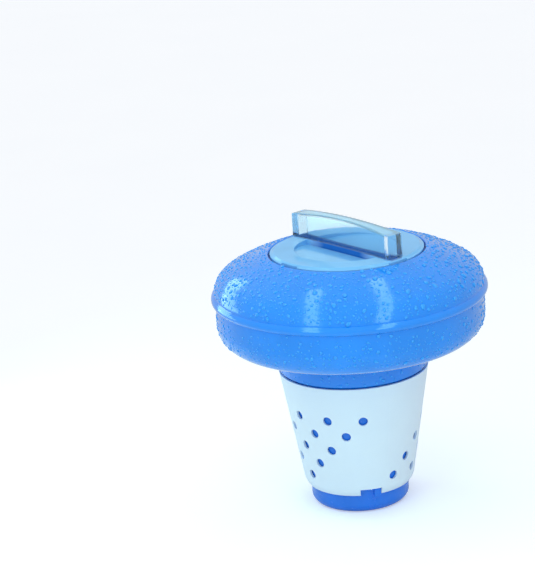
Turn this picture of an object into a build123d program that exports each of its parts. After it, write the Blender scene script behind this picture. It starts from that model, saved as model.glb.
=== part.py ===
from build123d import *
import math
import os

# Floating pool chlorine dispenser, free standing on its base, +Z up, origin at the centre of the base.
# A sealed ring float of two shells round a throat tube carries a tablet cup below it. A perforated
# sleeve turns round the cup and opens or shuts its holes. A clear lid with a grip closes the throat.
# All sizes are in millimetres and angles in degrees. Angles in plan are measured from +X.

# Driving dimensions: float
FLOAT_R = 82.5
WALL = 2.0
FLANGE_Z = 129.2
FLANGE_HEIGHT = 5.7
DOME_R = 80.5
DOME_SHOULDER = (73.5, 146.8)
DOME_LIP = (47.6, 157.3)
LOWER_R = 80.1
LOWER_CORNER_R = 14.0
FLOAT_FLOOR_Z = 102.3
NECK_R = 44.4
NECK_BOTTOM_Z = 85.2

# Driving dimensions: throat, lock ring and lid
THROAT_R = 41.6
OPENING_R = 46.8
LOCK_RING_TOP_Z = 153.7
LOCK_RING_BOTTOM_Z = 145.2
LEDGE_R = 41.1
LEDGE_UNDER_Z = 150.6
LUG_TRACK_R = 43.0
LID_R = 45.8
LID_UNDER_Z = 155.6
LID_TOP_Z = 158.6
SKIRT_R = 40.6
SKIRT_BOTTOM_Z = 147.4
LUG_R = 42.7
LUG_TOP_Z = 150.2
LUG_WIDTH_DEG = 18.0
ENTRY_WIDTH_DEG = 26.0
LUG_COUNT = 4
LOCK_STOP_DEG = 65.0
LOCK_STOP_WIDTH_DEG = 30.0
GRIP_ANGLE = -51.5
GRIP_END_HALF_WIDTH = 5.6
GRIP_WAIST_HALF_WIDTH = 3.7
GRIP_HALF_LENGTH = 43.4
GRIP_END_HEIGHT = 14.4
GRIP_MIDDLE_HEIGHT = 17.6
GRIP_WALL = 1.8
GRIP_EDGE_R = 0.9
FINGER_WELL_R = 31.3
FINGER_WELL_DEPTH = 3.4

# Driving dimensions: cup and dose sleeve
SLEEVE_TOP = (45.0, 84.4)
SLEEVE_FOOT = (33.6, 17.0)
SLEEVE_EDGE = (31.5, 12.3)
SLEEVE_WALL = 1.4
CUP_TOP_R = 42.2
CUP_WALL = 1.6
CUP_SHOULDER_Z = 78.4
CUP_FOOT = (31.8, 17.0)
BASE_R = 29.6
BASE_CORNER_R = 5.0
FLOOR = 2.0
TABLET_REST_R = 25.2
RIB_COUNT = 2
RIB_ANGLE = -57.0
RIB_WIDTH = 4.4
RIB_INNER_R = 29.0
RIB_TOP_Z = 60.0

# Driving dimensions: holes and the stops that limit the sleeve's turn
HOLE_R = 2.8
HOLE_ROWS = 5
HOLE_TOP_Z = 63.0
HOLE_ROW_PITCH = 9.9
HOLE_START_ANGLE = -87.0
HOLE_SPACING = 30.0
ROW_SHIFT = -15.0
HOLE_COLUMNS = (0, 3, 4, 5, 6, 9, 10, 11)
SHUT_ANGLE = 15.0
NOTCH_ANGLE = -81.0
NOTCH_WIDTH_DEG = 23.0
NOTCH_HEIGHT = 4.4
STOP_WIDTH_DEG = 7.4
NOTCH_COUNT = 2

# Where round faces start and end: a line down the object that no hole or lug crosses
SEAM_ANGLE = -65.0


def turned(*edges):
    """A closed outline in radius and height, turned into a solid round the axis."""
    return Rot(0, 0, SEAM_ANGLE) * revolve(Plane.XZ * make_face(edges), Axis.Z)


def ring(inner, outer, low, high):
    """A plain ring between two radii and two heights."""
    outline = Polyline((inner, low), (outer, low), (outer, high), (inner, high), close=True)
    return turned(outline)


def disc(radius, low, high):
    """A plain disc between two heights."""
    return Pos(0, 0, (low + high) / 2) * Cylinder(radius, high - low)


def sector(inner, outer, low, high, centre_deg, width_deg):
    """A piece of a ring, width_deg wide about centre_deg."""
    outline = Polyline((inner, low), (outer, low), (outer, high), (inner, high), close=True)
    half = revolve(Plane.XZ * make_face(outline), Axis.Z, revolution_arc=width_deg)
    return Rot(0, 0, centre_deg - width_deg / 2) * half


def arc_centre(start, end, direction):
    """Centre and radius of the arc that leaves start along direction and reaches end."""
    dx, dz = end[0] - start[0], end[1] - start[1]
    length = math.hypot(*direction)
    nx, nz = -direction[1] / length, direction[0] / length
    radius = (dx * dx + dz * dz) / (2 * (dx * nx + dz * nz))
    return (start[0] + radius * nx, start[1] + radius * nz), abs(radius)


def point_on(centre, radius, towards):
    """The point of a circle that lies towards another point from its centre."""
    dx, dz = towards[0] - centre[0], towards[1] - centre[1]
    length = math.hypot(dx, dz)
    return (centre[0] + radius * dx / length, centre[1] + radius * dz / length)


def between(low, high, z):
    """The radius at height z on the straight line between two (radius, height) points."""
    share = (z - low[1]) / (high[1] - low[1])
    return low[0] + share * (high[0] - low[0])


def sleeve_inside(z):
    """Inner radius of the dose sleeve's cone at height z."""
    return between(SLEEVE_FOOT, SLEEVE_TOP, z) - SLEEVE_WALL


def upper_float_shell():
    """The dome with the weld flange, the opening for the lid and the pocket of the lock ring."""
    rim_z = FLANGE_Z + FLANGE_HEIGHT
    rim = (DOME_R, rim_z)
    outer_centre, outer_radius = arc_centre(rim, DOME_SHOULDER, (0, 1))
    along = (outer_centre[1] - DOME_SHOULDER[1], DOME_SHOULDER[0] - outer_centre[0])
    crown_centre, crown_radius = arc_centre(DOME_SHOULDER, DOME_LIP, along)
    inner_rim = (DOME_R - WALL, rim_z)
    inner_shoulder = point_on(outer_centre, outer_radius - WALL, DOME_SHOULDER)
    pocket_r = OPENING_R + WALL
    inner_drop = math.sqrt((crown_radius - WALL) ** 2 - (pocket_r - crown_centre[0]) ** 2)
    inner_lip = (pocket_r, crown_centre[1] + inner_drop)
    lip_in = (OPENING_R, DOME_LIP[1] - 0.8)
    foot_z = LOCK_RING_BOTTOM_Z - 0.2
    rib_r = THROAT_R + WALL + 0.2
    rim_in = DOME_R - WALL - 0.2
    bulge = (FLOAT_R, FLANGE_Z + 0.5 * FLANGE_HEIGHT)
    return turned(
        ThreePointArc((DOME_R, FLANGE_Z), bulge, rim),
        TangentArc(rim, DOME_SHOULDER, tangent=(0, 1)),
        TangentArc(DOME_SHOULDER, DOME_LIP, tangent=along),
        RadiusArc(DOME_LIP, lip_in, -0.9),
        Polyline(
            lip_in, (OPENING_R, foot_z), (THROAT_R, foot_z), (THROAT_R, foot_z - WALL),
            (rib_r, foot_z - WALL), (rib_r, foot_z - 3 * WALL), (rib_r + 1.6, foot_z - 3 * WALL),
            (rib_r + 1.6, foot_z - WALL), (pocket_r, foot_z - WALL), inner_lip,
        ),
        ThreePointArc(
            inner_lip,
            point_on(crown_centre, crown_radius - WALL, (60.0, crown_centre[1] + crown_radius)),
            inner_shoulder,
        ),
        TangentArc(inner_rim, inner_shoulder, tangent=(0, 1)),
        Polyline(inner_rim, (rim_in, rim_z), (rim_in, FLANGE_Z), (DOME_R, FLANGE_Z)),
    )


def lower_float_shell():
    """The float's side and floor, and the tongue that laps the dome's rim."""
    corner_z = FLOAT_FLOOR_Z + LOWER_CORNER_R
    corner_r = LOWER_R - LOWER_CORNER_R
    outer_mid = LOWER_CORNER_R * math.sqrt(0.5)
    inner_mid = (LOWER_CORNER_R - WALL) * math.sqrt(0.5)
    tongue_out = DOME_R - WALL - 0.4
    tongue_in = tongue_out - 1.8
    tongue_top = FLANGE_Z + 4.2
    tongue_foot = FLANGE_Z - 5.0
    joint_z = FLANGE_Z - 0.1
    hole_r = THROAT_R + WALL + 0.1
    floor_top = FLOAT_FLOOR_Z + WALL
    inner_wall = LOWER_R - WALL
    return turned(
        Polyline(
            (tongue_in, tongue_top), (tongue_out, tongue_top), (tongue_out, joint_z),
            (LOWER_R, joint_z), (LOWER_R, corner_z),
        ),
        ThreePointArc(
            (LOWER_R, corner_z), (corner_r + outer_mid, corner_z - outer_mid), (corner_r, FLOAT_FLOOR_Z),
        ),
        Polyline(
            (corner_r, FLOAT_FLOOR_Z), (hole_r, FLOAT_FLOOR_Z), (hole_r, floor_top + 4.0),
            (hole_r + 1.6, floor_top + 4.0), (hole_r + 1.6, floor_top), (corner_r, floor_top),
        ),
        ThreePointArc(
            (corner_r, floor_top), (corner_r + inner_mid, corner_z - inner_mid), (inner_wall, corner_z),
        ),
        Polyline(
            (inner_wall, corner_z), (inner_wall, tongue_foot - 2.0), (tongue_in, tongue_foot),
            (tongue_in, tongue_top),
        ),
    )


def throat_tube():
    """The inner wall of the sealed float chamber, and below the float the neck that holds the cup."""
    high = LOCK_RING_BOTTOM_Z - 0.2 - WALL
    shoulder_z = FLOAT_FLOOR_Z - 0.1
    outer = THROAT_R + WALL
    flare = 3.0
    flare_mid = flare * (1 - math.sqrt(0.5))
    neck_in = CUP_TOP_R + 0.1
    step_z = FLOAT_FLOOR_Z - 1.0
    return turned(
        Polyline(
            (THROAT_R, step_z), (THROAT_R, high), (outer, high), (outer, shoulder_z),
            (NECK_R + flare, shoulder_z),
        ),
        ThreePointArc(
            (NECK_R + flare, shoulder_z), (NECK_R + flare_mid, shoulder_z - flare_mid),
            (NECK_R, shoulder_z - flare),
        ),
        Polyline(
            (NECK_R, shoulder_z - flare), (NECK_R, NECK_BOTTOM_Z + 0.5), (NECK_R - 0.5, NECK_BOTTOM_Z),
            (neck_in, NECK_BOTTOM_Z), (neck_in, step_z), (THROAT_R, step_z),
        ),
    )


def lid_lock_ring():
    """The bayonet ring: four ledges hold the lid's lugs, four gaps between them let the lugs drop in."""
    body = ring(LUG_TRACK_R, OPENING_R - 0.1, LOCK_RING_BOTTOM_Z, LOCK_RING_TOP_Z)
    ledge_deg = 360 / LUG_COUNT - ENTRY_WIDTH_DEG
    for n in range(LUG_COUNT):
        middle = GRIP_ANGLE + (n + 0.5) * 360 / LUG_COUNT
        body += sector(LEDGE_R, LUG_TRACK_R + 0.5, LEDGE_UNDER_Z, LOCK_RING_TOP_Z, middle, ledge_deg)
        stop_at = GRIP_ANGLE + n * 360 / LUG_COUNT - LOCK_STOP_DEG
        outer, high = LUG_TRACK_R + 0.5, LEDGE_UNDER_Z + 0.1
        body += sector(LEDGE_R, outer, SKIRT_BOTTOM_Z, high, stop_at, LOCK_STOP_WIDTH_DEG)
    return body


def grip_outline(inset):
    """Plan of the lid's waisted grip along X, inset from its outside."""
    end, waist = GRIP_END_HALF_WIDTH - inset, GRIP_WAIST_HALF_WIDTH - inset
    half = GRIP_HALF_LENGTH - inset
    return make_face([
        ThreePointArc((-half, end), (0, waist), (half, end)),
        Line((half, end), (half, -end)),
        ThreePointArc((half, -end), (0, -waist), (-half, -end)),
        Line((-half, -end), (-half, end)),
    ])


def grip_solid(inset, floor_z, rounding=0.0):
    """The grip's volume from floor_z up to its arched top, inset from its outside, its edges rounded."""
    tall = LID_TOP_Z + GRIP_MIDDLE_HEIGHT + 5
    body = Pos(0, 0, floor_z) * extrude(grip_outline(inset), tall - floor_z)
    half = GRIP_HALF_LENGTH + 2
    low, high = LID_TOP_Z + GRIP_END_HEIGHT - inset, LID_TOP_Z + GRIP_MIDDLE_HEIGHT - inset
    side = make_face([
        ThreePointArc((-half, low), (0, high), (half, low)),
        Polyline((half, low), (half, floor_z - 1), (-half, floor_z - 1), (-half, low)),
    ])
    arch = extrude(Plane.XZ * side, 2 * GRIP_END_HALF_WIDTH, both=True)
    body = body & arch & disc(GRIP_HALF_LENGTH - inset, floor_z, tall)
    if rounding:
        body = fillet(body.edges().filter_by(lambda edge: edge.center().Z > floor_z + 1), rounding)
    return body


def finger_well(side, grow):
    """One finger well beside the grip, deepest along the grip, grown for the plate below it."""
    depth = FINGER_WELL_DEPTH
    far = FINGER_WELL_R
    floor_line = make_face(Polyline(
        (0, LID_TOP_Z - depth - grow), (far, LID_TOP_Z - 0.3 - grow), (far, LID_TOP_Z + 1),
        (0, LID_TOP_Z + 1), close=True,
    ))
    wedge = extrude(Plane.YZ * floor_line, FINGER_WELL_R + grow, both=True)
    wedge = wedge & disc(FINGER_WELL_R + grow, LID_TOP_Z - depth - grow, LID_TOP_Z + 1)
    if side < 0:
        wedge = Rot(0, 0, 180) * wedge
    return wedge - grip_solid(-0.05, LID_TOP_Z - depth - grow - 1)


def lid():
    """The clear lid: plate, skirt with four lugs, finger wells and the hollow grip across it."""
    plate = turned(
        Polyline(
            (0, LID_TOP_Z), (43.4, LID_TOP_Z), (44.6, LID_TOP_Z - 0.9), (LID_R, LID_TOP_Z - 1.2),
            (LID_R, LID_UNDER_Z), (SKIRT_R, LID_UNDER_Z), (SKIRT_R, SKIRT_BOTTOM_Z),
            (SKIRT_R - 1.8, SKIRT_BOTTOM_Z), (SKIRT_R - 1.8, LID_UNDER_Z + 0.8),
            (0, LID_UNDER_Z + 0.8), close=True,
        ),
    )
    under_z = LID_UNDER_Z + 0.8
    for side in (1, -1):
        plate += finger_well(side, 1.8) & disc(SKIRT_R - 1.0, under_z - 5, under_z + 1)
    for side in (1, -1):
        plate -= finger_well(side, 0.0)
    well_z = LID_TOP_Z - FINGER_WELL_DEPTH - GRIP_WALL
    plate += grip_solid(0, LID_UNDER_Z, GRIP_EDGE_R)
    plate += grip_solid(0, well_z) & disc(SKIRT_R - 1.0, well_z, under_z + 1)
    plate -= grip_solid(GRIP_WALL, well_z - 1) & disc(SKIRT_R - 2.0, well_z - 1, LID_TOP_Z + 30)
    body = Rot(0, 0, GRIP_ANGLE) * plate
    for n in range(LUG_COUNT):
        at = GRIP_ANGLE + n * 360 / LUG_COUNT
        body += sector(SKIRT_R - 0.5, LUG_R, LUG_TOP_Z - 2.2, LUG_TOP_Z, at, LUG_WIDTH_DEG)
        body -= sector(LID_R - 1.4, LID_R + 1, LID_UNDER_Z - 1, LID_TOP_Z + 1, at, LUG_WIDTH_DEG)
    return body


def lid_seal():
    """The flat soft ring round the lid's skirt. It lifts with the lid and doesn't turn with it."""
    return ring(SKIRT_R + 0.3, LID_R - 2.2, LOCK_RING_TOP_Z + 0.1, LID_UNDER_Z - 0.3)


def hole_pins(turn):
    """Round pins through the wall wherever the sleeve, turned by some degrees, has a hole."""
    pins = []
    for row in range(HOLE_ROWS):
        z = HOLE_TOP_Z - row * HOLE_ROW_PITCH
        for column in HOLE_COLUMNS:
            angle = HOLE_START_ANGLE + row * ROW_SHIFT + column * HOLE_SPACING + turn
            pins.append(Rot(0, 0, angle) * Pos(36, 0, z) * Rot(0, 90, 0) * Cylinder(HOLE_R, 24))
    return pins


def dose_sleeve():
    """The perforated sleeve that turns round the cup, with its snap bead and its stop notches."""
    top_r, top_z = SLEEVE_TOP
    foot_r, foot_z = SLEEVE_FOOT
    slope = (foot_r - top_r, foot_z - top_z)
    inner_edge = (BASE_R + 0.6, SLEEVE_EDGE[1])
    inner_foot = (foot_r - SLEEVE_WALL, foot_z)
    bead_r = CUP_TOP_R - 0.7
    bead_low = CUP_SHOULDER_Z + 0.9
    shell = turned(
        Line(SLEEVE_TOP, SLEEVE_FOOT),
        TangentArc(SLEEVE_FOOT, SLEEVE_EDGE, tangent=slope),
        Line(SLEEVE_EDGE, inner_edge),
        TangentArc(inner_foot, inner_edge, tangent=slope),
        Polyline(
            inner_foot, (sleeve_inside(bead_low - 0.8), bead_low - 0.8), (bead_r, bead_low),
            (bead_r, bead_low + 1.0), (sleeve_inside(bead_low + 1.8), bead_low + 1.8),
            (sleeve_inside(top_z), top_z), SLEEVE_TOP,
        ),
    )
    for n in range(NOTCH_COUNT):
        at = NOTCH_ANGLE + n * 360 / NOTCH_COUNT
        high = SLEEVE_EDGE[1] + NOTCH_HEIGHT
        shell -= sector(BASE_R - 2, foot_r + 3, SLEEVE_EDGE[1] - 1, high, at, NOTCH_WIDTH_DEG)
        pip = Pos(SLEEVE_FOOT[0] - 1.0, 0, high + 0.1) * Rot(0, 90, 0) * Cylinder(0.5, 1.2)
        shell += Rot(0, 0, at) * pip
    return shell - hole_pins(0)


def tablet_cup():
    """The cup for the tablets: collar inside the neck, snap groove, perforated cone, base and stops."""
    groove_r = CUP_TOP_R - 1.1
    groove_top = CUP_SHOULDER_Z + 3.2
    top_z = FLOAT_FLOOR_Z - 1.4
    base_top = SLEEVE_EDGE[1] + 0.8
    corner_r = BASE_R - BASE_CORNER_R
    corner_mid = BASE_CORNER_R * (1 - math.sqrt(0.5))
    body = turned(
        Polyline(
            (corner_r, 0), (20.5, 0), (19.5, 0.6), (0, 0.6), (0, top_z), (CUP_TOP_R, top_z),
            (CUP_TOP_R, groove_top), (groove_r, groove_top), (groove_r, CUP_SHOULDER_Z + 0.5),
            (CUP_TOP_R, CUP_SHOULDER_Z + 0.2), (CUP_TOP_R - 0.2, CUP_SHOULDER_Z - 1.0), CUP_FOOT,
            (BASE_R, base_top), (BASE_R, BASE_CORNER_R),
        ),
        ThreePointArc((BASE_R, BASE_CORNER_R), (BASE_R - corner_mid, corner_mid), (corner_r, 0)),
    )
    for n in range(NOTCH_COUNT):
        shut_stop = NOTCH_ANGLE + n * 360 / NOTCH_COUNT + (NOTCH_WIDTH_DEG - STOP_WIDTH_DEG) / 2 - 0.3
        high = SLEEVE_EDGE[1] + NOTCH_HEIGHT - 0.5
        out = SLEEVE_EDGE[0] + 0.3
        body += sector(BASE_R - 3, out, base_top - 2.4, high, shut_stop, STOP_WIDTH_DEG)
    foot_r, foot_z = CUP_FOOT
    inner_top = CUP_TOP_R - CUP_WALL - 1.2
    inner_base = BASE_R - CUP_WALL - 0.2
    inner_corner = inner_base - corner_r
    inner_mid = inner_corner * (1 - math.sqrt(0.5))
    cavity = turned(
        Polyline(
            (corner_r, FLOOR), (0, FLOOR), (0, top_z + 1), (inner_top, top_z + 1),
            (inner_top, CUP_SHOULDER_Z - 4), (foot_r - CUP_WALL, foot_z), (inner_base, base_top - 1),
            (inner_base, FLOOR + inner_corner),
        ),
        ThreePointArc(
            (inner_base, FLOOR + inner_corner), (inner_base - inner_mid, FLOOR + inner_mid),
            (corner_r, FLOOR),
        ),
    )
    cavity -= ring(TABLET_REST_R - CUP_WALL, TABLET_REST_R, FLOOR - 1, FLOOR + 4.6)
    for n in range(RIB_COUNT):
        outline = make_face(Polyline(
            (RIB_INNER_R, foot_z + 2), (RIB_INNER_R + 16, foot_z - 2), (RIB_INNER_R + 16, RIB_TOP_Z),
            (RIB_INNER_R, RIB_TOP_Z - 3.0), close=True,
        ))
        rib = extrude(Plane.XZ * outline, RIB_WIDTH / 2, both=True)
        cavity -= Rot(0, 0, RIB_ANGLE + n * 360 / RIB_COUNT) * rib
    return body - cavity - hole_pins(SHUT_ANGLE)


PARTS = {
    "upper_float_shell": upper_float_shell,
    "lower_float_shell": lower_float_shell,
    "throat_tube": throat_tube,
    "lid_lock_ring": lid_lock_ring,
    "lid": lid,
    "lid_seal": lid_seal,
    "dose_sleeve": dose_sleeve,
    "tablet_cup": tablet_cup,
}

os.makedirs("parts", exist_ok=True)
for name, make in PARTS.items():
    export_step(make(), f"parts/{name}.step")
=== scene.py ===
"""A floating pool chlorine dispenser: finishes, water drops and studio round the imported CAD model.

The float, cup, sleeve and lid come from the CAD as they are. This script gives each of them its
moulded finish, adds the drops of water that stand on the float, and sets up a plain pale studio.
All lengths are in metres, in the CAD's frame: +Z up, -Y to the front, origin under the base.
"""

from __future__ import annotations

import bisect
import itertools
import logging
import math
import random
from dataclasses import dataclass
from enum import Enum

import bpy
from mathutils import Matrix, Vector


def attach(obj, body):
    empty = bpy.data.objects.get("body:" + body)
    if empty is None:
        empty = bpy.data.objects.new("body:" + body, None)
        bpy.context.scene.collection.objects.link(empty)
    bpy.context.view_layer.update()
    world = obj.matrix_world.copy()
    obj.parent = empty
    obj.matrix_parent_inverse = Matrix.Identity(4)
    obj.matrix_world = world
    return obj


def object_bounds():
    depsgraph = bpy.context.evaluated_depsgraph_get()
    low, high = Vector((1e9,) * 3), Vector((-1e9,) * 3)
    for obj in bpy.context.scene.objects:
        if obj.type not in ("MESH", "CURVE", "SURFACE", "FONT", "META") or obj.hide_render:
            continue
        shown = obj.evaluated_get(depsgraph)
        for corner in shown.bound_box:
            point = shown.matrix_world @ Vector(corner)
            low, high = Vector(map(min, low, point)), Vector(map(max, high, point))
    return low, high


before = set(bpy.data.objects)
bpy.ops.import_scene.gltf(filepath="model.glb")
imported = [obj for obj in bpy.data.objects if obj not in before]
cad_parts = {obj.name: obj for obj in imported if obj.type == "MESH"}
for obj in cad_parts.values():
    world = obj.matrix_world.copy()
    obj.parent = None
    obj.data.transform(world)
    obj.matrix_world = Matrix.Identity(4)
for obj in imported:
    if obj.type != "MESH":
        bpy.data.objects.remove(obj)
CAD_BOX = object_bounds()

Colour = tuple[float, float, float]
Range = tuple[float, float]
Socket = bpy.types.NodeSocket
log = logging.getLogger("dispenser")

LID_TOP = 0.1586  # height of the lid's plate
GRIP_TURN = -51.5  # direction of the grip's length from +X, in degrees
DOME_CENTRE = Vector((0.0, 0.0, 0.14))
NEAR_AXIS = 1e-9  # the least distance from the axis to divide by
FADE = (1.0, 0.0)  # a ramp that goes from full to none


class Body(Enum):
    """The CAD bodies that move apart from each other."""

    FLOAT = "float_and_cup"
    SLEEVE = "dose_sleeve"
    SEAL = "lid_seal"
    LID = "lid"


class Node(Enum):
    """The CAD nodes, each one moulded part."""

    UPPER_SHELL = "upper_float_shell"
    LOWER_SHELL = "lower_float_shell"
    THROAT = "throat_tube"
    LOCK_RING = "lid_lock_ring"
    CUP = "tablet_cup"
    SLEEVE = "dose_sleeve"
    SEAL = "lid_seal"
    LID = "lid"


@dataclass(frozen=True)
class Grain:
    """A fractal pattern.

    Attributes:
        scale: cycles per metre.
        detail: octaves.
        rough: how much each octave adds.
        span: the pattern's values that count as none and as full.
    """

    scale: float
    detail: float
    rough: float = 0.5
    span: Range = (0.0, 1.0)


class NodeGraph:
    """A short way to add and join the shader nodes of one material."""

    def __init__(self, name: str) -> None:
        """Starts a material with a principled shader.

        Args:
            name: the material's name.
        """
        self.material = bpy.data.materials.new(name)
        self.material.use_nodes = True
        self.tree = self.material.node_tree
        self.shader = self.tree.nodes["Principled BSDF"]

    def add(
        self, kind: str, links: dict[str | int, object] | None = None, **settings: object
    ) -> bpy.types.Node:
        """Adds a node.

        Args:
            kind: the node's type, such as ShaderNodeTexNoise.
            links: a value or an output socket for each named or numbered input.
            settings: properties set on the node itself.

        Returns:
            The new node.
        """
        node = self.tree.nodes.new(kind)
        for key, value in settings.items():
            setattr(node, key, value)
        for key, value in (links or {}).items():
            self.feed(node.inputs[key], value)
        return node

    def feed(self, socket: Socket, value: object) -> None:
        """Links an output to a socket, or sets the socket's value.

        Args:
            socket: the input to fill.
            value: an output socket, a number or a colour.
        """
        if isinstance(value, Socket):
            self.tree.links.new(value, socket)
        else:
            socket.default_value = value

    def fill(self, **values: object) -> None:
        """Fills the shader's sockets.

        Args:
            values: a value or an output socket for each input, with _ for a space in its name.
        """
        for key, value in values.items():
            self.feed(self.shader.inputs[key.replace("_", " ")], value)

    def noise(self, place: Socket, grain: Grain) -> Socket:
        """A fractal noise value over a position.

        Args:
            place: the position to read.
            grain: the pattern.

        Returns:
            The noise value's socket.
        """
        links = {"Vector": place, "Scale": grain.scale, "Detail": grain.detail}
        links["Roughness"] = grain.rough
        return self.add("ShaderNodeTexNoise", links).outputs["Fac"]

    def ramp(self, value: Socket, read: Range, result: Range = (0.0, 1.0)) -> Socket:
        """Maps a value from one range to another, clamped.

        Args:
            value: the value to map.
            read: lower and upper end of the range read.
            result: what those ends become.

        Returns:
            The mapped value's socket.
        """
        links = {"Value": value, "From Min": read[0], "From Max": read[1]}
        links.update({"To Min": result[0], "To Max": result[1]})
        return self.add("ShaderNodeMapRange", links, clamp=True).outputs["Result"]

    def patches(self, place: Socket, grain: Grain, result: Range = (0.0, 1.0)) -> Socket:
        """A fractal pattern spread over a range.

        Args:
            place: the position to read.
            grain: the pattern.
            result: what none and full become.

        Returns:
            The value's socket.
        """
        return self.ramp(self.noise(place, grain), grain.span, result)

    def mix(self, share: object, first: object, second: object) -> Socket:
        """Mixes two colours.

        Args:
            share: how much of the second colour, from 0 to 1.
            first: a colour or a colour socket.
            second: a colour or a colour socket.

        Returns:
            The mixed colour's socket.
        """
        node = self.add("ShaderNodeMix", data_type="RGBA")
        self.feed(node.inputs[0], share)
        self.feed(node.inputs[6], first)
        self.feed(node.inputs[7], second)
        return node.outputs[2]

    def math(self, kind: str, first: object, second: object = 0.0) -> Socket:
        """Combines two numbers.

        Args:
            kind: the operation, such as MULTIPLY.
            first: a number or a socket.
            second: a number or a socket.

        Returns:
            The result's socket.
        """
        return self.add("ShaderNodeMath", {0: first, 1: second}, operation=kind).outputs[0]

    def axis(self, vector: Socket, name: str) -> Socket:
        """One part of a vector.

        Args:
            vector: the vector's socket.
            name: X, Y or Z.

        Returns:
            That part's socket.
        """
        return self.add("ShaderNodeSeparateXYZ", {"Vector": vector}).outputs[name]

    def near(self, value: Socket, limit: float, edge: float) -> Socket:
        """Tells where a value is close to zero, with a soft edge.

        Args:
            value: the value to read, on either side of zero.
            limit: how far from zero is still near.
            edge: width of the soft edge past the limit.

        Returns:
            A socket that is 1 near zero and 0 away from it.
        """
        return self.ramp(self.math("ABSOLUTE", value), (limit, limit + edge), FADE)

    def bump(
        self, height: Socket, depth: float, strength: float, under: Socket | None = None
    ) -> Socket:
        """Turns a height into a surface normal.

        Args:
            height: the height's socket, from 0 to 1.
            depth: metres of relief for a height of 1.
            strength: share of the relief that shows.
            under: an earlier normal that this relief lies on.

        Returns:
            The normal's socket.
        """
        links = {"Height": height, "Distance": depth, "Strength": strength}
        node = self.add("ShaderNodeBump", links)
        if under is not None:
            self.feed(node.inputs["Normal"], under)
        return node.outputs["Normal"]

    def place(self) -> Socket:
        """The position on the piece, in metres, as an output socket."""
        return self.add("ShaderNodeTexCoord").outputs["Object"]


def rgba(colour: Colour) -> tuple[float, float, float, float]:
    """A colour with full alpha."""
    return (*colour, 1.0)


def shade(colour: Colour, share: float) -> tuple[float, float, float, float]:
    """A colour scaled by a share, held under 1, with full alpha."""
    return rgba(tuple(min(1.0, channel * share) for channel in colour))


@dataclass(frozen=True)
class MouldedPlastic:
    """Injection-moulded plastic: flow marks in the pigment, a fine skin, and light scuffs.

    Attributes:
        name: the finish's name.
        colour: the plastic's own colour.
        roughness: the skin's roughness where it is clean.
        coat: how strong the polished outer skin is.
        flow_share: how far the flow marks darken the pigment.
        glow: share of light that travels inside the wall.
        warp: slow clouds in which the flow marks fade in and out.
        flow: the flow marks.
        speck: the specks in the pigment.
        speck_share: how much of a speck's colour shows.
        speck_shade: how dark a speck is.
        scuffs: the scuffed patches.
        scuff: roughness that a scuff adds.
        skin: the moulded skin.
        skin_depth: relief of that skin, in metres.
        skin_strength: share of that relief that shows.
        fine: the grain on that skin.
        fine_share: the grain's relief for a skin of 1.
        fine_strength: share of the grain's relief that shows.
        coat_roughness: the outer skin's roughness.
        ior: the refractive index.
        depth: how far light travels inside the wall, in metres.
        depth_colour: how far each colour travels for a depth of 1.
    """

    name: str
    colour: Colour
    roughness: float = 0.2
    coat: float = 0.3
    flow_share: float = 0.12
    glow: float = 0.0
    warp: Grain = Grain(14.0, 3.0)
    flow: Grain = Grain(38.0, 6.0, 0.62, (0.12, 0.42))
    speck: Grain = Grain(2600.0, 2.0, span=(0.62, 0.78))
    speck_share: float = 0.35
    speck_shade: float = 0.82
    scuffs: Grain = Grain(190.0, 8.0, 0.7, (0.45, 0.75))
    scuff: float = 0.10
    skin: Grain = Grain(420.0, 4.0, 0.6)
    skin_depth: float = 0.00006
    skin_strength: float = 0.6
    fine: Grain = Grain(3200.0, 2.0)
    fine_share: float = 0.12
    fine_strength: float = 0.4
    coat_roughness: float = 0.04
    ior: float = 1.5
    depth: float = 0.002
    depth_colour: Colour = (1.0, 1.1, 1.3)

    def pigment(self, g: NodeGraph, spot: Socket) -> Socket:
        """The pigment's colour, with slow flow marks and fine specks.

        Args:
            g: the material's nodes.
            spot: the position on the piece.

        Returns:
            The colour's socket.
        """
        flow = g.math("MULTIPLY", g.noise(spot, self.warp), g.noise(spot, self.flow))
        dark = shade(self.colour, 1.0 - self.flow_share)
        light = shade(self.colour, 1.0 + 0.5 * self.flow_share)
        marked = g.mix(g.ramp(flow, self.flow.span), dark, light)
        specks = g.patches(spot, self.speck, (0.0, self.speck_share))
        return g.mix(specks, marked, shade(self.colour, self.speck_shade))

    def build(self) -> bpy.types.Material:
        """Makes the material.

        Returns:
            The finished material.
        """
        g = NodeGraph(self.name)
        spot = g.place()
        scuffed = g.patches(spot, self.scuffs, (0.0, self.scuff))
        skin = g.bump(g.noise(spot, self.skin), self.skin_depth, self.skin_strength)
        fine_depth = self.skin_depth * self.fine_share
        g.fill(
            Base_Color=self.pigment(g, spot),
            Roughness=g.math("ADD", scuffed, self.roughness),
            Normal=g.bump(g.noise(spot, self.fine), fine_depth, self.fine_strength, skin),
            Coat_Weight=self.coat,
            Coat_Roughness=self.coat_roughness,
            IOR=self.ior,
        )
        if self.glow:
            g.fill(
                Subsurface_Weight=self.glow,
                Subsurface_Scale=self.depth,
                Subsurface_Radius=self.depth_colour,
            )
        return g.material


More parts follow.
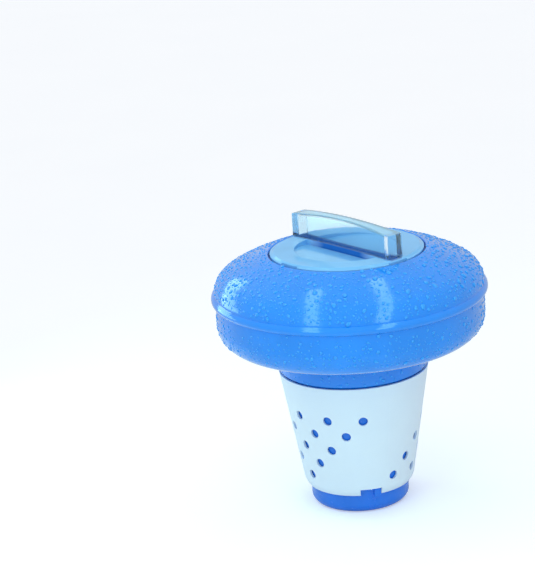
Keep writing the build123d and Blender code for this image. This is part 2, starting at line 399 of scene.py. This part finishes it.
@dataclass(frozen=True)
class ClearPlastic:
    """Tinted plastic, clear in the grip and milky in the plate round it, with painted shade under
    the grip and a painted highlight on the grip's level faces.

    Attributes:
        name: the finish's name.
        tint: the colour of light that comes through the clear grip.
        milk: the colour of the milky plate.
        painted_highlight: a pale blue painted on the grip's level faces above the plate, a painted
            highlight for the light its top catches.
        darker_blue: a dark blue painted on the opening under the grip, painted shade that stands in
            for the shadowed inside of the float.
        grip_half: half the width of that opening, in metres.
        grip_length: half its length, in metres.
        haze: how much of the clear grip's skin scatters instead of passing light.
        plate_haze: the same for the plate.
        painted_highlight_haze: what the painted highlight on the grip's top adds to it.
        painted_shade_haze: what the painted shade on the opening under the grip adds to it.
        level: the slopes, from upright to flat, between which a face counts as the grip's top.
        step: height of the plate's edge over which the plate ends, in metres.
        side_edge: width of the opening's soft sides, in metres.
        end_edge: length of its soft ends, in metres.
        cloud: the clouds in the plastic.
        tint_shade: how dark a cloud is in the grip.
        milk_shade: how dark a cloud is in the plate.
        smears: the smeared patches.
        smear: roughness that a smear adds.
        skin: the moulded skin.
        skin_depth: relief of that skin, in metres.
        skin_strength: share of that relief that shows.
        roughness: the polish of the skin.
        ior: the refractive index.
    """

    name: str
    tint: Colour
    milk: Colour
    painted_highlight: Colour
    darker_blue: Colour
    grip_half: float = 0.0040
    grip_length: float = 0.0430
    haze: float = 0.03
    plate_haze: float = 0.88
    painted_highlight_haze: float = 0.40
    painted_shade_haze: float = 0.6
    level: Range = (0.6, 0.95)
    step: float = 0.0008
    side_edge: float = 0.0006
    end_edge: float = 0.001
    cloud: Grain = Grain(60.0, 5.0, span=(0.35, 0.7))
    tint_shade: float = 0.97
    milk_shade: float = 0.93
    smears: Grain = Grain(160.0, 8.0, 0.7, (0.45, 0.75))
    smear: float = 0.08
    skin: Grain = Grain(260.0, 3.0)
    skin_depth: float = 0.00004
    skin_strength: float = 0.5
    roughness: float = 0.05
    ior: float = 1.3

    def zones(self, g: NodeGraph, spot: Socket) -> tuple[Socket, Socket, Socket]:
        """Tells apart the lid's plate, the opening under the grip, where shade is painted, and the
        grip's top, where a highlight is painted.

        Args:
            g: the material's nodes.
            spot: the position on the piece.

        Returns:
            How far a place belongs to the plate, to the painted shade under the grip and to the
            painted highlight on the top, each from 0 to 1.
        """
        low = g.ramp(g.axis(spot, "Z"), (LID_TOP, LID_TOP + self.step), FADE)
        turn = (0.0, 0.0, math.radians(-GRIP_TURN))
        along = g.add("ShaderNodeMapping", {"Vector": spot, "Rotation": turn}).outputs["Vector"]
        within = g.near(g.axis(along, "Y"), self.grip_half, self.side_edge)
        inside = g.near(g.axis(along, "X"), self.grip_length, self.end_edge)
        # Painted shade: the opening under the grip, where a dark blue stands in for the shadowed
        # inside of the float.
        under = g.math("MULTIPLY", low, g.math("MULTIPLY", within, inside))
        # Painted highlight: the grip's level faces above the plate, where a pale blue stands in for
        # the light the top catches.
        facing = g.axis(g.add("ShaderNodeNewGeometry").outputs["Normal"], "Z")
        level = g.ramp(g.math("ABSOLUTE", facing), self.level)
        painted_highlight = g.math("MULTIPLY", level, g.ramp(low, (0.0, 1.0), FADE))
        return g.math("SUBTRACT", low, under), under, painted_highlight

    def build(self) -> bpy.types.Material:
        """Makes the material.

        Returns:
            The finished material.
        """
        g = NodeGraph(self.name)
        spot = g.place()
        plate, under, painted_highlight = self.zones(g, spot)
        cloud = g.patches(spot, self.cloud)
        clear = g.mix(cloud, rgba(self.tint), shade(self.tint, self.tint_shade))
        milk = g.mix(cloud, rgba(self.milk), shade(self.milk, self.milk_shade))
        # Painted shade: the dark blue under the grip goes over the clear and milky colours.
        colour = g.mix(under, g.mix(plate, clear, milk), rgba(self.darker_blue))
        smeared = g.patches(spot, self.smears, (0.0, self.smear))
        passed = g.ramp(plate, (0.0, 1.0), (1.0 - self.haze, 1.0 - self.plate_haze))
        # Less light passes where shade and a highlight are painted, so that their colours show.
        for zone, haze in ((under, self.painted_shade_haze), (painted_highlight, self.painted_highlight_haze)):
            passed = g.math("SUBTRACT", passed, g.math("MULTIPLY", zone, haze))
        g.fill(
            # Painted highlight: the pale blue on the grip's top goes over all.
            Base_Color=g.mix(painted_highlight, colour, rgba(self.painted_highlight)),
            Roughness=g.math("ADD", smeared, self.roughness),
            Normal=g.bump(g.noise(spot, self.skin), self.skin_depth, self.skin_strength),
            Transmission_Weight=passed,
            IOR=self.ior,
        )
        return g.material


@dataclass(frozen=True)
class Water:
    """Water standing in small drops, tinted a blue a little lighter than the float under it: the
    float seen through a drop, with painted light for the light the drop gathers.

    Attributes:
        name: the finish's name.
        tint: the colour of the drops, the float's blue seen through them, made lighter as painted
            light.
        clearness: how much light passes through a drop.
        gloss: how strong the wet outer skin is.
        gloss_roughness: that skin's roughness.
        ior: the refractive index.
        depth: slow changes of the tint.
        depth_shade: how dark the tint gets.
        smooth: the uneven polish under the wet skin.
        polish: the least and the most roughness of that polish.
        ripple: the ripples on a drop.
        ripple_depth: their relief, in metres.
        ripple_strength: share of that relief that shows.
    """

    name: str
    tint: Colour = (0.012, 0.37, 1.0)
    clearness: float = 0.1
    gloss: float = 0.7
    gloss_roughness: float = 0.03
    ior: float = 1.4
    depth: Grain = Grain(300.0, 2.0, span=(0.3, 0.7))
    depth_shade: float = 0.95
    smooth: Grain = Grain(900.0, 2.0, span=(0.3, 0.7))
    polish: Range = (0.01, 0.04)
    ripple: Grain = Grain(700.0, 2.0)
    ripple_depth: float = 0.00003
    ripple_strength: float = 0.3

    def build(self) -> bpy.types.Material:
        """Makes the material.

        Returns:
            The finished material.
        """
        g = NodeGraph(self.name)
        spot = g.place()
        darker_blue = shade(self.tint, self.depth_shade)
        ripple = g.noise(spot, self.ripple)
        g.fill(
            # A blue lighter than the float: the float seen through the drop, lightened as painted
            # light.
            Base_Color=g.mix(g.patches(spot, self.depth), rgba(self.tint), darker_blue),
            Roughness=g.patches(spot, self.smooth, self.polish),
            Normal=g.bump(ripple, self.ripple_depth, self.ripple_strength),
            Transmission_Weight=self.clearness,
            Coat_Weight=self.gloss,
            Coat_Roughness=self.gloss_roughness,
            IOR=self.ior,
        )
        return g.material


def dress(finish: MouldedPlastic | ClearPlastic, *nodes: Node) -> None:
    """Gives CAD nodes a finish, each in its own material.

    Args:
        finish: the finish to build and assign.
        nodes: the nodes that wear it.
    """
    for node in nodes:
        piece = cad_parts[node.value]
        piece.data.materials.clear()
        piece.data.materials.append(finish.build())
        log.info("dressed %s in %s", node.value, finish.name)


@dataclass(frozen=True)
class Drop:
    """One drop's place and size.

    Attributes:
        foot: the middle of its foot.
        turn: its turn, with its height along the skin's normal.
        sizes: its length, width and height, in metres.
    """

    foot: Vector
    turn: Matrix
    sizes: tuple[float, ...]


@dataclass(frozen=True)
class WaterDrops:
    """Drops of water standing on the outside of one CAD node.

    Attributes:
        name: the piece's name.
        node: the CAD node the drops stand on.
        low: height below which none stands, in metres.
        high: height above which none stands, in metres.
        inner: distance from the axis inside which none stands, in metres.
        count: how many drops.
        small: radius of the smallest drop, in metres.
        large: radius of the largest drop, in metres.
        seed: start of the random draws.
        segments: sides of a drop.
        rings: rings of the ball that a drop is cut from.
        squat: a drop's height for a radius of 1.
        sink: how far a drop's foot lies under the skin, for a radius of 1.
        wettest: direction of the largest drops, in radians from the front towards +X.
        dryness: how much smaller the largest drop is on the far side.
        fineness: how strongly small drops outnumber large ones.
        gap: least distance of two drops, for radii that add up to 1.
        cells: side of a cell of the search grid, for a largest radius of 1.
        tries: draws allowed for each drop.
        stretch: least and most of a drop's length, width and height, for a radius of 1.
        swell: how far a drop's outline leaves an ellipse, for a radius of 1.
        lobes: how many times the outline swells on its way round.
        outward: least share of the skin's normal that points away from the axis.
        underside: the skin's lowest upward share that still holds drops.
    """

    name: str
    node: Node
    low: float
    high: float
    inner: float
    count: int
    small: float
    large: float
    seed: int
    segments: int = 8
    rings: int = 6
    squat: float = 0.58
    sink: float = 0.06
    wettest: float = 0.25
    dryness: float = 0.6
    fineness: float = 2.1
    gap: float = 1.12
    cells: float = 2.2
    tries: int = 12
    stretch: tuple[Range, ...] = ((1.0, 1.35), (0.8, 1.0), (0.75, 1.1))
    swell: float = 0.10
    lobes: float = 3.0
    outward: float = 0.05
    underside: float = -0.6

    def pattern(self) -> tuple[list[Vector], list[tuple[int, ...]]]:
        """Models one drop of radius 1 standing on the XY plane.

        Returns:
            The drop's points, and its faces in an order that is the same each time.
        """
        bpy.ops.object.select_all(action="DESELECT")
        bpy.ops.mesh.primitive_uv_sphere_add(
            segments=self.segments, ring_count=self.rings, radius=1.0
        )
        drop = bpy.context.object
        bpy.ops.object.mode_set(mode="EDIT")
        bpy.ops.mesh.select_all(action="SELECT")
        bpy.ops.mesh.bisect(
            plane_co=(0, 0, 0), plane_no=(0, 0, 1), clear_inner=True, use_fill=True
        )
        bpy.ops.mesh.select_all(action="SELECT")
        bpy.ops.transform.resize(value=(1.0, 1.0, self.squat), center_override=(0, 0, 0))
        bpy.ops.object.mode_set(mode="OBJECT")
        points = [vertex.co.copy() for vertex in drop.data.vertices]
        faces = sorted(tuple(polygon.vertices) for polygon in drop.data.polygons)
        bpy.data.objects.remove(drop)
        return points, faces

    def outside(self) -> list[tuple[float, Vector, Vector, Vector, Vector]]:
        """Finds the node's outward triangles in the band where drops stand.

        Returns:
            For each triangle, the running total of area, its corners and its normal.
        """
        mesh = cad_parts[self.node.value].data
        total, found = 0.0, []
        for polygon in mesh.polygons:
            middle, normal = polygon.center, polygon.normal
            reach = math.hypot(middle.x, middle.y)
            outward = (middle.x * normal.x + middle.y * normal.y) / max(reach, NEAR_AXIS)
            if not self.low < middle.z < self.high or reach < self.inner:
                continue
            if outward < self.outward or normal.z < self.underside:
                continue
            total += polygon.area
            corners = [mesh.vertices[i].co for i in polygon.vertices[:3]]
            found.append((total, *corners, normal))
        return found

    def places(self) -> list[Drop]:
        """Draws where the drops stand, and keeps them apart.

        Returns:
            The drops, in the order they were drawn.
        """
        draw = random.Random(self.seed)
        triangles = self.outside()
        areas = [row[0] for row in triangles]
        side = self.cells * self.large
        taken: dict[tuple[int, ...], list[tuple[Vector, float]]] = {}
        chosen: list[Drop] = []
        for _ in range(self.count * self.tries):
            if len(chosen) == self.count:
                break
            _, a, b, c, normal = triangles[bisect.bisect_left(areas, draw.random() * areas[-1])]
            u, v = draw.random(), draw.random()
            if u + v > 1.0:
                u, v = 1.0 - u, 1.0 - v
            spot = a + (b - a) * u + (c - a) * v
            front = 0.5 + 0.5 * math.cos(math.atan2(spot.x, -spot.y) - self.wettest)
            largest = self.large * (1.0 - self.dryness + self.dryness * front)
            size = self.small + (largest - self.small) * draw.random() ** self.fineness
            cell = tuple(math.floor(value / side) for value in spot)
            if any(
                (spot - other).length < self.gap * (size + reach)
                for step in itertools.product((-1, 0, 1), repeat=3)
                for other, reach in taken.get(tuple(map(sum, zip(cell, step))), ())
            ):
                continue
            taken.setdefault(cell, []).append((spot, size))
            spin = Matrix.Rotation(draw.uniform(0, math.tau), 3, "Z")
            turn = normal.to_track_quat("Z", "Y").to_matrix() @ spin
            sizes = tuple(size * draw.uniform(*limits) for limits in self.stretch)
            chosen.append(Drop(spot - normal * (self.sink * size), turn, sizes))
        return chosen

    def build(self, finish: Water, body: Body) -> None:
        """Sets the drops on the node, as one piece that rides on a body.

        Args:
            finish: the drops' finish.
            body: the body they ride on.
        """
        points, faces = self.pattern()
        verts: list[Vector] = []
        polys: list[tuple[int, ...]] = []
        drops = self.places()
        for number, drop in enumerate(drops):
            base = len(verts)
            long, wide, tall = drop.sizes
            for p in points:
                wave = math.sin(self.lobes * math.atan2(p.y, p.x) + number)
                swell = 1.0 + self.swell * wave
                local = Vector((p.x * long * swell, p.y * wide * swell, p.z * tall))
                verts.append(drop.foot + drop.turn @ local)
            polys.extend(tuple(base + i for i in face) for face in faces)
        mesh = bpy.data.meshes.new(self.name)
        mesh.from_pydata(verts, [], polys)
        mesh.update()
        piece = bpy.data.objects.new(self.name, mesh)
        bpy.context.scene.collection.objects.link(piece)
        mesh.shade_smooth()
        mesh.materials.append(finish.build())
        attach(piece, body.value)
        log.info("placed %d drops on %s", len(drops), self.node.value)


@dataclass
class FloatAndCup:
    """The ring float, the chamber and lock ring inside it, the cup under it, and its drops.

    Attributes:
        shell: the float's finish.
        inner: the lock ring's finish.
        cup: the cup's finish.
        water: the drops' finish.
        drops: the drops, one entry for each node they stand on.
    """

    shell: MouldedPlastic = MouldedPlastic(
        "float_blue_gloss", (0.002, 0.270, 0.92), roughness=0.11, coat=0.5
    )
    inner: MouldedPlastic = MouldedPlastic(
        "throat_blue_satin", (0.012, 0.20, 0.70), roughness=0.3, coat=0.1
    )
    cup: MouldedPlastic = MouldedPlastic(
        "cup_blue_gloss", (0.006, 0.175, 0.78), roughness=0.22, coat=0.3
    )
    water: Water = Water("clean_water")
    drops: tuple[WaterDrops, ...] = (
        WaterDrops(
            "drops_on_dome", Node.UPPER_SHELL, 0.1362, 0.1570, 0.048, 3600, 0.0004, 0.0020, 11
        ),
        WaterDrops(
            "drops_on_side", Node.LOWER_SHELL, 0.1028, 0.1230, 0.055, 1300, 0.0004, 0.0014, 12
        ),
        WaterDrops("drops_on_neck", Node.THROAT, 0.0860, 0.0990, 0.044, 320, 0.0003, 0.0013, 13),
    )

    def build(self) -> None:
        """Dresses the moulded parts and sets the drops on them."""
        dress(self.shell, Node.UPPER_SHELL, Node.LOWER_SHELL, Node.THROAT)
        dress(self.inner, Node.LOCK_RING)
        dress(self.cup, Node.CUP)
        for drops in self.drops:
            drops.build(self.water, Body.FLOAT)
        log.info("%s is ready", Body.FLOAT.value)


@dataclass
class DoseSleeve:
    """The perforated sleeve that turns round the cup.

    Attributes:
        skin: the sleeve's finish.
    """

    skin: MouldedPlastic = MouldedPlastic(
        "sleeve_white_satin",
        (0.80, 0.90, 1.0),
        roughness=0.34,
        coat=0.1,
        flow_share=0.03,
        glow=0.15,
    )

    def build(self) -> None:
        """Dresses the sleeve."""
        dress(self.skin, Node.SLEEVE)
        log.info("%s is ready", Body.SLEEVE.value)


@dataclass
class TwistLid:
    """The clear lid with its grip, and the seal under its rim.

    Attributes:
        clear: the lid's finish.
        rubber: the seal's finish.
    """

    clear: ClearPlastic = ClearPlastic(
        "lid_clear_tint",
        tint=(0.80, 0.935, 1.0),
        milk=(0.26, 0.61, 1.0),
        # The painted highlight on the grip's top.
        painted_highlight=(0.64, 0.88, 1.0),
        # The painted shade under the grip.
        darker_blue=(0.02, 0.22, 0.74),
    )
    rubber: MouldedPlastic = MouldedPlastic(
        "seal_soft", (0.42, 0.66, 0.82), roughness=0.6, coat=0.0
    )

    def build(self) -> None:
        """Dresses the seal and the lid."""
        dress(self.rubber, Node.SEAL)
        dress(self.clear, Node.LID)
        log.info("%s and %s are ready", Body.SEAL.value, Body.LID.value)


@dataclass(frozen=True)
class LampStrip:
    """A tall strip of light that the dome mirrors to the camera.

    Attributes:
        name: the lamps' name.
        foot: where the strip's foot shows, in degrees from the front towards +X.
        head: where its head shows, in degrees from the front towards +X.
        slopes: slopes of the dome's normal at the ends of its lamps, in degrees.
        width: the lowest lamp's width, in metres.
        level: brightness, where 1 is a lit white wall.
        taper: how much narrower each lamp is than the one below it, as a share of the width.
    """

    name: str
    foot: float
    head: float
    slopes: tuple[float, ...]
    width: float
    level: float
    taper: float = 0.19


@dataclass
class Studio:
    """A pale floor, strip lamps that show in the dome, an even surround, and the camera.

    Attributes:
        elevation: the camera's height above the horizon, in degrees.
        lens: the lens in millimetres.
        frame_height: what the picture's height spans at the object, in metres.
        slide: how far the view's middle lies from the object's middle, right and up, in metres.
        roll: the camera's turn about its own axis, in degrees.
        sensor: the sensor's long side, in millimetres.
        reach: distance of the strip lamps from the dome, in metres.
        surround: strength of the even surround as light.
        mirrored_surround: its strength as gloss shows it.
        surround_colour: its colour.
        mottle: the floor's clouds.
        floor_colours: the floor's colours, out of a cloud and in it.
        floor_roughness: the floor's roughness.
        floor_light: the colour that the floor adds to its own, to the eye.
        floor_lift: how much of it the floor adds.
        floor_size: the floor's side, in metres.
        crossings: how often light may cross a wall.
        reflections: how often light may be mirrored.
        lamp_colour: the colour of the strip lamps.
        dome: the dome's radius, its rise and the height it starts from, in metres.
        strips: the strips of light.
    """

    elevation: float = 17.0
    lens: float = 135.0
    frame_height: float = 0.349
    slide: tuple[float, float] = (-0.0515, 0.0415)
    roll: float = -4.0
    sensor: float = 36.0
    reach: float = 0.3
    surround: float = 0.73
    mirrored_surround: float = 0.70
    surround_colour: Colour = (0.95, 0.97, 1.0)
    mottle: Grain = Grain(8.0, 3.0)
    floor_colours: tuple[Colour, Colour] = ((0.84, 0.86, 0.88), (0.88, 0.89, 0.90))
    floor_roughness: float = 0.9
    floor_light: Colour = (0.97, 0.98, 1.0)
    floor_lift: float = 0.34
    floor_size: float = 30.0
    crossings: int = 24
    reflections: int = 12
    lamp_colour: Colour = (0.50, 0.95, 1.0)
    dome: tuple[float, float, float] = (0.0825, 0.0273, 0.135)
    strips: tuple[LampStrip, ...] = (
        LampStrip("strip_left", -63.0, -70.0, (5.0, 18.0, 32.0, 48.0, 64.0), 0.17, 2.7),
        LampStrip("strip_front_left", -17.4, -17.5, (4.0, 22.0, 38.0, 54.0, 67.0), 0.078, 2.9),
        LampStrip("strip_front_right", 11.5, 17.5, (4.0, 22.0, 40.0, 56.0, 70.0), 0.074, 2.9),
    )

    def paths(self) -> None:
        """Lets light cross the lid's walls as often as the hollow grip needs."""
        cycles = bpy.context.scene.cycles
        cycles.max_bounces = self.crossings
        cycles.transmission_bounces = self.crossings
        cycles.glossy_bounces = self.reflections

    def floor(self) -> None:
        """Adds the pale floor under the base."""
        bpy.ops.mesh.primitive_plane_add(size=self.floor_size, location=(0, 0, 0))
        ground = bpy.context.object
        ground.name = "studio_floor"
        ground.data.transform(ground.matrix_world)
        ground.matrix_world = Matrix.Identity(4)
        g = NodeGraph("studio_floor")
        mottle = g.noise(g.place(), self.mottle)
        path = g.add("ShaderNodeLightPath").outputs
        seen = g.math("MAXIMUM", path["Is Camera Ray"], path["Is Transmission Ray"])
        g.fill(
            Base_Color=g.mix(mottle, *(rgba(colour) for colour in self.floor_colours)),
            Roughness=self.floor_roughness,
            Emission_Color=rgba(self.floor_light),
            Emission_Strength=g.math("MULTIPLY", seen, self.floor_lift),
        )
        ground.data.materials.append(g.material)

    def world(self) -> None:
        """Sets a soft even surround that is white to the eye and softer as light."""
        world = bpy.data.worlds.new("studio")
        world.use_nodes = True
        bpy.context.scene.world = world
        tree = world.node_tree
        back = tree.nodes["Background"]
        path = tree.nodes.new("ShaderNodeLightPath")
        level: Socket | None = None
        for ray, strength in (
            ("Is Glossy Ray", self.mirrored_surround),
            ("Is Camera Ray", 1.0),
            ("Is Transmission Ray", 1.0),
        ):
            pick = tree.nodes.new("ShaderNodeMix")
            tree.links.new(path.outputs[ray], pick.inputs[0])
            pick.inputs[3].default_value = strength
            if level is None:
                pick.inputs[2].default_value = self.surround
            else:
                tree.links.new(level, pick.inputs[2])
            level = pick.outputs[0]
        tree.links.new(level, back.inputs["Strength"])
        back.inputs["Color"].default_value = rgba(self.surround_colour)

    def mirrored(self, heading: float, slope: float) -> Vector:
        """Where a lamp has to hang to show at one place on the dome.

        Args:
            heading: the place's direction from the axis, in degrees from the front towards +X.
            slope: the dome's surface normal there, in degrees above the horizon.

        Returns:
            A point at the lamps' distance.
        """
        rise, turn, lean = (math.radians(angle) for angle in (self.elevation, heading, slope))
        outward = Vector((math.sin(turn), -math.cos(turn), 0.0))
        wide, tall, foot = self.dome
        swing = math.atan(tall / wide * math.tan(lean))
        height = Vector((0.0, 0.0, foot + tall * math.sin(swing)))
        place = outward * (wide * math.cos(swing)) + height
        eye = Vector((0.0, -math.cos(rise), math.sin(rise)))
        normal = outward * math.cos(lean) + Vector((0.0, 0.0, math.sin(lean)))
        return place + (2.0 * eye.dot(normal) * normal - eye) * self.reach

    def hang(self, strip: LampStrip) -> None:
        """Hangs a strip as a chain of flat lamps.

        Args:
            strip: the strip to hang.
        """
        start, span = strip.slopes[0], strip.slopes[-1] - strip.slopes[0]
        swing = strip.head - strip.foot
        marks = [
            self.mirrored(strip.foot + swing * (slope - start) / span, slope)
            for slope in strip.slopes
        ]
        for part, (first, last) in enumerate(zip(marks, marks[1:])):
            middle, along = (first + last) / 2.0, (last - first).normalized()
            across = along.cross((middle - DOME_CENTRE).normalized()).normalized()
            data = bpy.data.lights.new(f"{strip.name}_{part}", "AREA")
            data.shape = "RECTANGLE"
            data.color = self.lamp_colour
            data.size = strip.width * (1.0 - strip.taper * part)
            data.size_y = (last - first).length
            data.energy = strip.level * math.pi * data.size * data.size_y
            lamp = bpy.data.objects.new(data.name, data)
            lamp.visible_camera = False
            bpy.context.scene.collection.objects.link(lamp)
            turned = Matrix((across, along, across.cross(along))).transposed().to_4x4()
            lamp.matrix_world = Matrix.Translation(middle) @ turned

    def camera(self) -> None:
        """Adds the camera in front of the object, aimed past it as the framing asks."""
        low, high = CAD_BOX
        rise = math.radians(self.elevation)
        back = Vector((0.0, -math.cos(rise), math.sin(rise)))
        spin = Matrix.Rotation(math.radians(self.roll), 3, back)
        right = spin @ Vector((1.0, 0.0, 0.0))
        up = spin @ Vector((0.0, math.sin(rise), math.cos(rise)))
        aim = (low + high) / 2.0 + right * self.slide[0] + up * self.slide[1]
        distance = self.frame_height * self.lens / self.sensor
        data = bpy.data.cameras.new("studio_camera")
        data.lens = self.lens
        data.sensor_width = self.sensor
        data.clip_end = 2.0 * self.floor_size
        camera = bpy.data.objects.new("studio_camera", data)
        bpy.context.scene.collection.objects.link(camera)
        turn = Matrix((right, up, back)).transposed().to_4x4()
        camera.matrix_world = Matrix.Translation(aim + back * distance) @ turn
        bpy.context.scene.camera = camera

    def build(self) -> None:
        """Sets up floor, surround, lamps and camera."""
        self.paths()
        self.floor()
        self.world()
        for strip in self.strips:
            self.hang(strip)
        self.camera()
        log.info("studio ready")


def main() -> None:
    """Builds the sub-assemblies in order, then the studio."""
    logging.basicConfig(level=logging.INFO, format="%(message)s")
    bpy.ops.object.select_all(action="DESELECT")
    bpy.context.scene.view_settings.view_transform = "Standard"
    for part in (FloatAndCup(), DoseSleeve(), TwistLid(), Studio()):
        part.build()


if __name__ == "__main__":
    main()
